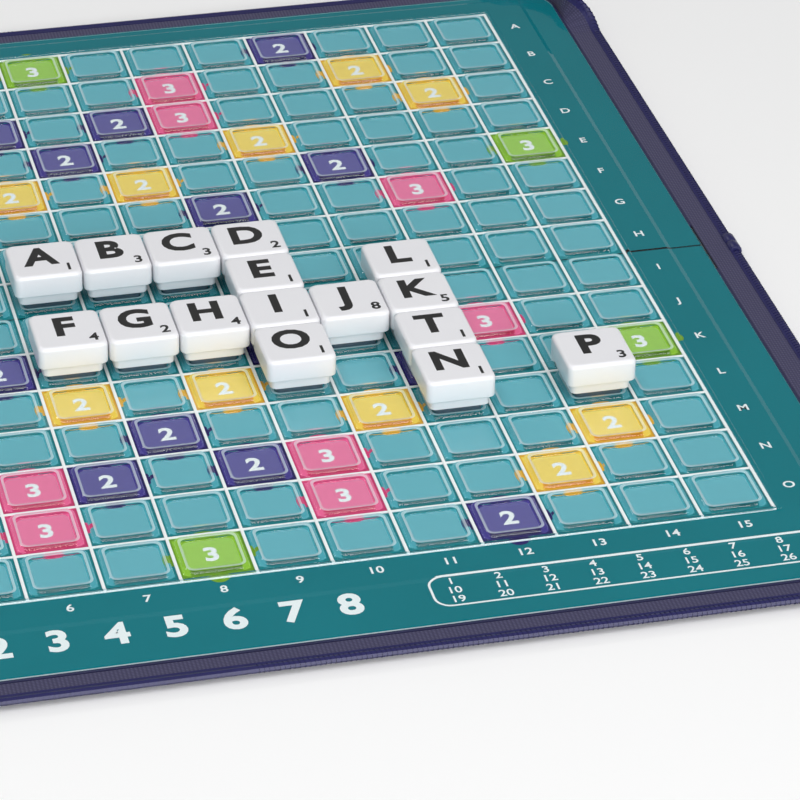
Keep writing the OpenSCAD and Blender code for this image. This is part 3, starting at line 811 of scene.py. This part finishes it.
def makeTile(number):
    t = tile
    node = "tile_%02d" % number
    low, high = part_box(node)
    centre = (low + high) / 2
    bm = bmesh.new()
    bmesh.ops.create_grid(bm, x_segments=1, y_segments=1, size=t["plugHalf"])
    bmesh.ops.bevel(bm, geom=list(bm.verts), affect="VERTICES", offset=t["plugCorner"],
                    segments=t["cornerSegments"], profile=0.5, material=-1)
    bmesh.ops.translate(bm, vec=(0, 0, low.z), verts=bm.verts)
    growRings(bm, bm.faces[:][0], t["plugHalf"], tileRings((high.x - low.x) / 2, high.z))
    bmesh.ops.contextual_create(bm, geom=[e for e in bm.edges if e.is_boundary])
    bmesh.ops.recalc_face_normals(bm, faces=bm.faces)
    bmesh.ops.translate(bm, vec=(centre.x, centre.y, 0), verts=bm.verts)
    piece = finishMesh(bm, "tile%02d" % number, ["tile", "plug"], node)
    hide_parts(node)

    bm = bmesh.new()
    stamps = (
        (tileLetters, t["letterHeight"], t["letterBold"], t["letterAt"]),
        (tileValues, t["numberHeight"], t["numberBold"], t["numberAt"]),
    )
    for words, height, bold, (x, y) in stamps:
        place = Vector((centre.x + x, centre.y + y, high.z + t["stampLift"]))
        addText(bm, words[number - 1], height, place, bold)
    finishMesh(bm, "letter%02d" % number, ["black"], node, smooth=0)


for number in range(1, len(tileLetters) + 1):
    makeTile(number)
print("tiles made")


# Spine: one soft strip of the case's cloth that bends round the fold, over "turn" at both sides of it
spine = {"steps": 40, "edge": 0.15 * mm, "turn": 1.5 * mm}


def makeSpine():
    low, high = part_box("fold_spine")
    bm = bmesh.new()
    bmesh.ops.create_cube(bm, size=1)
    bmesh.ops.scale(bm, vec=high - low, verts=bm.verts)
    bmesh.ops.translate(bm, vec=(low + high) / 2, verts=bm.verts)
    bmesh.ops.bevel(bm, geom=bm.edges[:], affect="EDGES", offset=spine["edge"], segments=2, profile=0.5,
                    material=-1)
    for step in range(spine["steps"] + 1):
        y = spine["turn"] * (2 * step / spine["steps"] - 1)
        whole = bm.verts[:] + bm.edges[:] + bm.faces[:]
        bmesh.ops.bisect_plane(bm, geom=whole, plane_co=(0, y, 0), plane_no=(0, 1, 0))
    piece = finishMesh(bm, "foldSpine", ["cloth"], None)
    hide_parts("fold_spine")
    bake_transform(piece, "front_half", "back_half", start=(0, -spine["turn"], 0), end=(0, spine["turn"], 0))


makeSpine()
print("spine made")


# Zip: each half has two end strips and two side strips, which meet in the middle of the corner's bend
zipper = {
    "endWidth": 5 * mm, "sideWidth": 6 * mm, "tape": 0.7 * mm, "hem": 0.5 * mm, "tapeGap": 0.3 * mm,
    "ramp": 14 * mm, "rampSteps": 14, "arcSteps": 10, "leftTilt": 18,
    "coilRadius": 1 * mm, "cord": (0.86 * mm, 0.66 * mm), "cordSides": 8,
    "bandReach": 1.2 * mm, "bandRise": 0.12 * mm,
    "toothPitch": 0.9 * mm, "toothSpare": 0.2, "toothHeight": 0.6 * mm, "toothLean": 12, "toothSteps": 9,
    "wire": 0.2 * mm, "wireSides": 5,
    "clipLength": 3 * mm, "clipRadius": 1.35 * mm, "clipEdge": 0.3 * mm, "clipSides": 16,
}
endLow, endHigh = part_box("front_zip_tape")
zipPlace = {
    "z": (tapeLow.z + tapeHigh.z) / 2, "sideLine": tapeLow.x, "endLine": -endHigh.y,
    "cornerX": endHigh.x + zipper["ramp"] + zipper["tapeGap"],
    "cornerY": -tapeLow.y + zipper["ramp"] + zipper["tapeGap"],
}
zipPlace["radius"] = zipPlace["sideLine"] - zipPlace["cornerX"]
zipPlace["arcEnd"] = zipPlace["cornerX"] + zipPlace["radius"] * math.pi / 2
zipPlace["end"] = zipPlace["arcEnd"] + zipPlace["cornerY"] - foldHalfGap


def ease(t):
    t = min(max(t, 0), 1)
    return t * t * (3 - 2 * t)


def zipFrame(s, flatTilt):
    # Place of the zip at a length s from the middle of the end, turned across, along and through the
    # tape, and the tape's width there
    z, p = zipper, zipPlace
    turn, width = -90, z["endWidth"]
    if s < p["cornerX"]:
        point = Vector((s, -p["endLine"], p["z"]))
        tilt = 90 * ease((s - p["cornerX"] + z["ramp"]) / z["ramp"])
    elif s < p["arcEnd"]:
        share = (s - p["cornerX"]) / (p["arcEnd"] - p["cornerX"])
        turn = -90 + 90 * share
        a = math.radians(turn)
        x = p["cornerX"] + p["radius"] * math.cos(a)
        point = Vector((x, -p["cornerY"] + p["radius"] * math.sin(a), p["z"]))
        tilt = 90
        width += (z["sideWidth"] - width) * share
    else:
        turn, width = 0, z["sideWidth"]
        run = s - p["arcEnd"]
        point = Vector((p["sideLine"], -p["cornerY"] + run, p["z"]))
        tilt = 90 - (90 - flatTilt) * ease(run / z["ramp"])
    a = math.radians(turn)
    t = math.radians(tilt)
    across = Vector((math.cos(a) * math.cos(t), math.sin(a) * math.cos(t), math.sin(t)))
    through = Vector((-math.cos(a) * math.sin(t), -math.sin(a) * math.sin(t), math.cos(t)))
    along = through.cross(across)
    turned = Matrix((across, along, through)).transposed().to_4x4()
    return Matrix.Translation(point) @ turned, width


def sweep(bm, stations, scales, lengths):
    # Extrude the one face of bm through the stations, and note the length and the width on every vertex
    alongLayer = bm.verts.layers.float["along"]
    acrossLayer = bm.verts.layers.float["across"]
    face = bm.faces[:][0]
    for v in face.verts:
        v[acrossLayer] = v.co.x
        v[alongLayer] = lengths[0]
    was = stations[0] @ Matrix.Diagonal((scales[0], 1, 1, 1))
    bmesh.ops.transform(bm, matrix=was, verts=face.verts)
    ring = list(face.edges)
    for station, scale, length in zip(stations[1:], scales[1:], lengths[1:]):
        made = bmesh.ops.extrude_edge_only(bm, edges=ring)["geom"]
        now = station @ Matrix.Diagonal((scale, 1, 1, 1))
        verts = madeVerts(made)
        bmesh.ops.transform(bm, matrix=now @ was.inverted(), verts=verts)
        for v in verts:
            v[alongLayer] = length
        ring = madeRing(made)
        was = now
    bmesh.ops.contextual_create(bm, geom=ring)


def stripLengths(start, end):
    # Lengths where the strip needs a station: its ends, every step of a ramp and every step of the bend
    z, p = zipper, zipPlace
    ramp = [i / z["rampSteps"] * z["ramp"] for i in range(z["rampSteps"] + 1)]
    bend = [i / z["arcSteps"] * (p["arcEnd"] - p["cornerX"]) for i in range(1, z["arcSteps"])]
    places = [p["cornerX"] - r for r in ramp] + [p["cornerX"] + b for b in bend]
    places += [p["arcEnd"] + r for r in ramp]
    return sorted({start, end} | {s for s in places if start < s < end})


def profileMesh(corners):
    # A flat face at y 0 in the strip's own plane, across and through, that is ready to be swept
    bm = bmesh.new()
    bm.verts.layers.float.new("along")
    bm.verts.layers.float.new("across")
    bm.faces.new([bm.verts.new((x, 0, z)) for x, z in corners])
    return bm


def tapeMesh(start, end, flatTilt):
    z = zipper
    half = z["tape"] / 2
    edge = z["endWidth"] - z["coilRadius"]
    bm = profileMesh([(-z["hem"], -half), (-z["hem"], half), (edge, half), (edge, -half)])
    lengths = stripLengths(start, end)
    frames = [zipFrame(s, flatTilt) for s in lengths]
    scales = [(width - z["coilRadius"]) / edge for place, width in frames]
    sweep(bm, [place for place, width in frames], scales, lengths)
    alongLayer = bm.verts.layers.float["along"]
    acrossLayer = bm.verts.layers.float["across"]
    uv = bm.loops.layers.uv.new("tapeMap")
    for f in bm.faces:
        for loop in f.loops:
            loop[uv].uv = (loop.vert[alongLayer] / mm, loop.vert[acrossLayer] / mm)
    return storeMesh(bm, "tapeShape")


def coilPlace(s, flatTilt):
    place, width = zipFrame(s, flatTilt)
    return place @ Matrix.Translation((width - zipper["coilRadius"], 0, 0))


def cordMeshes(start, end, flatTilt):
    # The cord inside the coil, and the band that holds it
    z = zipper
    lengths = stripLengths(start, end)
    lines = [coilPlace(s, flatTilt) for s in lengths]
    wide, thick = z["cord"]
    turns = [math.tau * i / z["cordSides"] for i in range(z["cordSides"])]
    cord = [(wide * math.cos(a), thick * math.sin(a)) for a in turns]
    rise = z["tape"] / 2 + z["bandRise"]
    band = [(-z["bandReach"], -rise), (-z["bandReach"], rise), (0, rise), (0, -rise)]
    made = []
    for corners in (cord, band):
        bm = profileMesh(corners)
        sweep(bm, lines, [1] * len(lines), lengths)
        made.append(storeMesh(bm, "coilCord"))
    return made


def toothMesh():
    # One turn of the coil: a ring of wire, pressed flatter and leaning
    z = zipper
    bm = bmesh.new()
    loop = z["coilRadius"] - z["wire"]
    wire = bmesh.ops.create_circle(bm, segments=z["wireSides"], radius=z["wire"])["verts"]
    for axis in "ZYZ":
        bmesh.ops.rotate(bm, matrix=Matrix.Rotation(math.radians(90), 3, axis), verts=wire)
    bmesh.ops.translate(bm, vec=(0, 0, loop), verts=wire)
    bmesh.ops.spin(bm, geom=bm.edges[:] + bm.verts[:], cent=(0, 0, 0), axis=(0, 1, 0), angle=math.tau,
                   steps=z["toothSteps"], use_merge=True)
    bmesh.ops.scale(bm, vec=(1, 1, z["toothHeight"] / loop), verts=bm.verts)
    bmesh.ops.rotate(bm, matrix=Matrix.Rotation(math.radians(z["toothLean"]), 3, "Z"), verts=bm.verts)
    return storeMesh(bm, "tooth")


def clipMesh(end, flatTilt):
    # The clip round the end of the coil
    z = zipper
    bm = bmesh.new()
    bmesh.ops.create_cone(bm, cap_ends=True, segments=z["clipSides"], radius1=z["clipRadius"],
                          radius2=z["clipRadius"], depth=z["clipLength"])
    rims = [e for e in bm.edges if abs(e.verts[0].co.z - e.verts[1].co.z) < samePlace]
    bmesh.ops.bevel(bm, geom=rims, affect="EDGES", offset=z["clipEdge"], segments=2, profile=0.5,
                    material=-1)
    bmesh.ops.rotate(bm, matrix=Matrix.Rotation(math.radians(90), 3, "X"), verts=bm.verts)
    bmesh.ops.transform(bm, matrix=coilPlace(end - z["clipLength"] / 2, flatTilt), verts=bm.verts)
    return storeMesh(bm, "clip")


def coilMeshes(start, end, flatTilt, clipped):
    # The cord and its band, the teeth wound round them, and the clip at the end by the fold
    z = zipper
    made = cordMeshes(start, end, flatTilt)
    tooth = toothMesh()
    pitch, spare = z["toothPitch"], z["toothSpare"]
    stop = end - (z["clipLength"] if clipped else 0)
    for i in range(math.ceil(start / pitch + spare), math.floor(stop / pitch - spare) + 1):
        mesh = tooth.copy()
        mesh.transform(coilPlace(i * pitch, flatTilt))
        made.append(mesh)
    if clipped:
        made.append(clipMesh(end, flatTilt))
    return made


def zipPart(name, shapes, key, bodies, flips, blendEnds, nodes):
    bm = bmesh.new()
    for mesh in shapes:
        bm.from_mesh(mesh)
    bmesh.ops.scale(bm, vec=(flips[0], flips[1], 1), verts=bm.verts)
    bmesh.ops.recalc_face_normals(bm, faces=bm.faces)
    piece = finishMesh(bm, name, [key], None)
    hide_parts(*nodes)
    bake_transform(piece, bodies[0], bodies[1], start=blendEnds[0], end=blendEnds[1])


def makeZip():
    z, p = zipper, zipPlace
    middle = (p["cornerX"] + p["arcEnd"]) / 2
    for sideName, flipX, flatTilt in (("right", 1, 0), ("left", -1, z["leftTilt"])):
        parts = (("End", 0, middle, False), ("Side", middle, p["end"], True))
        for partName, start, end, clipped in parts:
            tapeShape = tapeMesh(start, end, flatTilt)
            coilShapes = coilMeshes(start, end, flatTilt, clipped)
            for half, flipY in (("front", 1), ("back", -1)):
                corner = Vector((flipX * p["cornerX"], -flipY * p["cornerY"], p["z"]))
                if partName == "End":
                    bodies = (half + "_half", half + "_flap")
                    node = half + "_zip_"
                    blendEnds = (corner, corner - Vector((flipX * z["ramp"], 0, 0)))
                else:
                    bodies = (half + "_half", sideName + "_" + half + "_flap")
                    node = sideName + "_" + half + "_zip_"
                    blendEnds = (corner, corner + Vector((0, flipY * z["ramp"], 0)))
                name = half + sideName.title() + partName
                zipPart(name + "Tape", [tapeShape], "tape", bodies, (flipX, flipY), blendEnds,
                        (node + "tape", half + "_corner_tapes"))
                zipPart(name + "Coil", coilShapes, "coil", bodies, (flipX, flipY), blendEnds,
                        (node + "coil", half + "_corner_coils"))


makeZip()
print("zip made")


# Floor, light and background. The sky's grey levels run from the horizon (0) to straight up (1)
stage = {
    "floorHalf": 3, "paper": "#fafafa",
    "sky": ((0.0, 0.8), (0.2, 0.45), (0.4, 0.2), (0.62, 0.2), (0.8, 0.4), (1.0, 0.5)),
    "lamps": {
        "keyLight": {"place": (-0.05, -0.82, 1.26), "size": (1.2, 0.95), "power": 10},
        "backLight": {"place": (-0.5, 1.3, 1.3), "size": (0.5, 0.3), "power": 3},
        "frontLight": {"place": (0.2, -1.5, 0.7), "size": (1.2, 0.5), "power": 14},
    },
}


def makeFloor():
    bm = bmesh.new()
    bmesh.ops.create_grid(bm, x_segments=1, y_segments=1, size=stage["floorHalf"])
    mesh = storeMesh(bm, "floor")
    floor = bpy.data.objects.new("floor", mesh)
    bpy.context.collection.objects.link(floor)
    # Matt white studio paper
    material, tree, shader = newMaterial("paleFloor", Base_Color=linear(stage["paper"]), Roughness=0.9)
    mesh.materials.append(material)


def makeSky():
    world = bpy.data.worlds.new("studio")
    bpy.context.scene.world = world
    world.use_nodes = True
    tree = world.node_tree
    tree.nodes.clear()
    direction = addNode(tree, "ShaderNodeTexCoord").outputs["Generated"]
    up = addNode(tree, "ShaderNodeSeparateXYZ", {0: direction}).outputs["Z"]
    ramp = addNode(tree, "ShaderNodeValToRGB", {"Fac": up})
    stops = ramp.color_ramp.elements
    for place, level in stage["sky"]:
        stop = stops.new(place) if 0 < place < 1 else stops[-1 if place else 0]
        stop.color = (level, level, level, 1)
    background = addNode(tree, "ShaderNodeBackground", {"Color": ramp.outputs[0], "Strength": 1.0})
    addNode(tree, "ShaderNodeOutputWorld", {"Surface": background.outputs[0]})


def makeLamps():
    for name, lampValues in stage["lamps"].items():
        data = bpy.data.lights.new(name, "AREA")
        data.shape = "RECTANGLE"
        data.size, data.size_y = lampValues["size"]
        data.energy = lampValues["power"]
        lamp = bpy.data.objects.new(name, data)
        bpy.context.collection.objects.link(lamp)
        lamp.location = lampValues["place"]
        lamp.rotation_euler = (-Vector(lampValues["place"])).to_track_quat("-Z", "Y").to_euler()


makeFloor()
makeSky()
makeLamps()
bpy.context.scene.view_settings.view_transform = "Standard"
print("stage set")
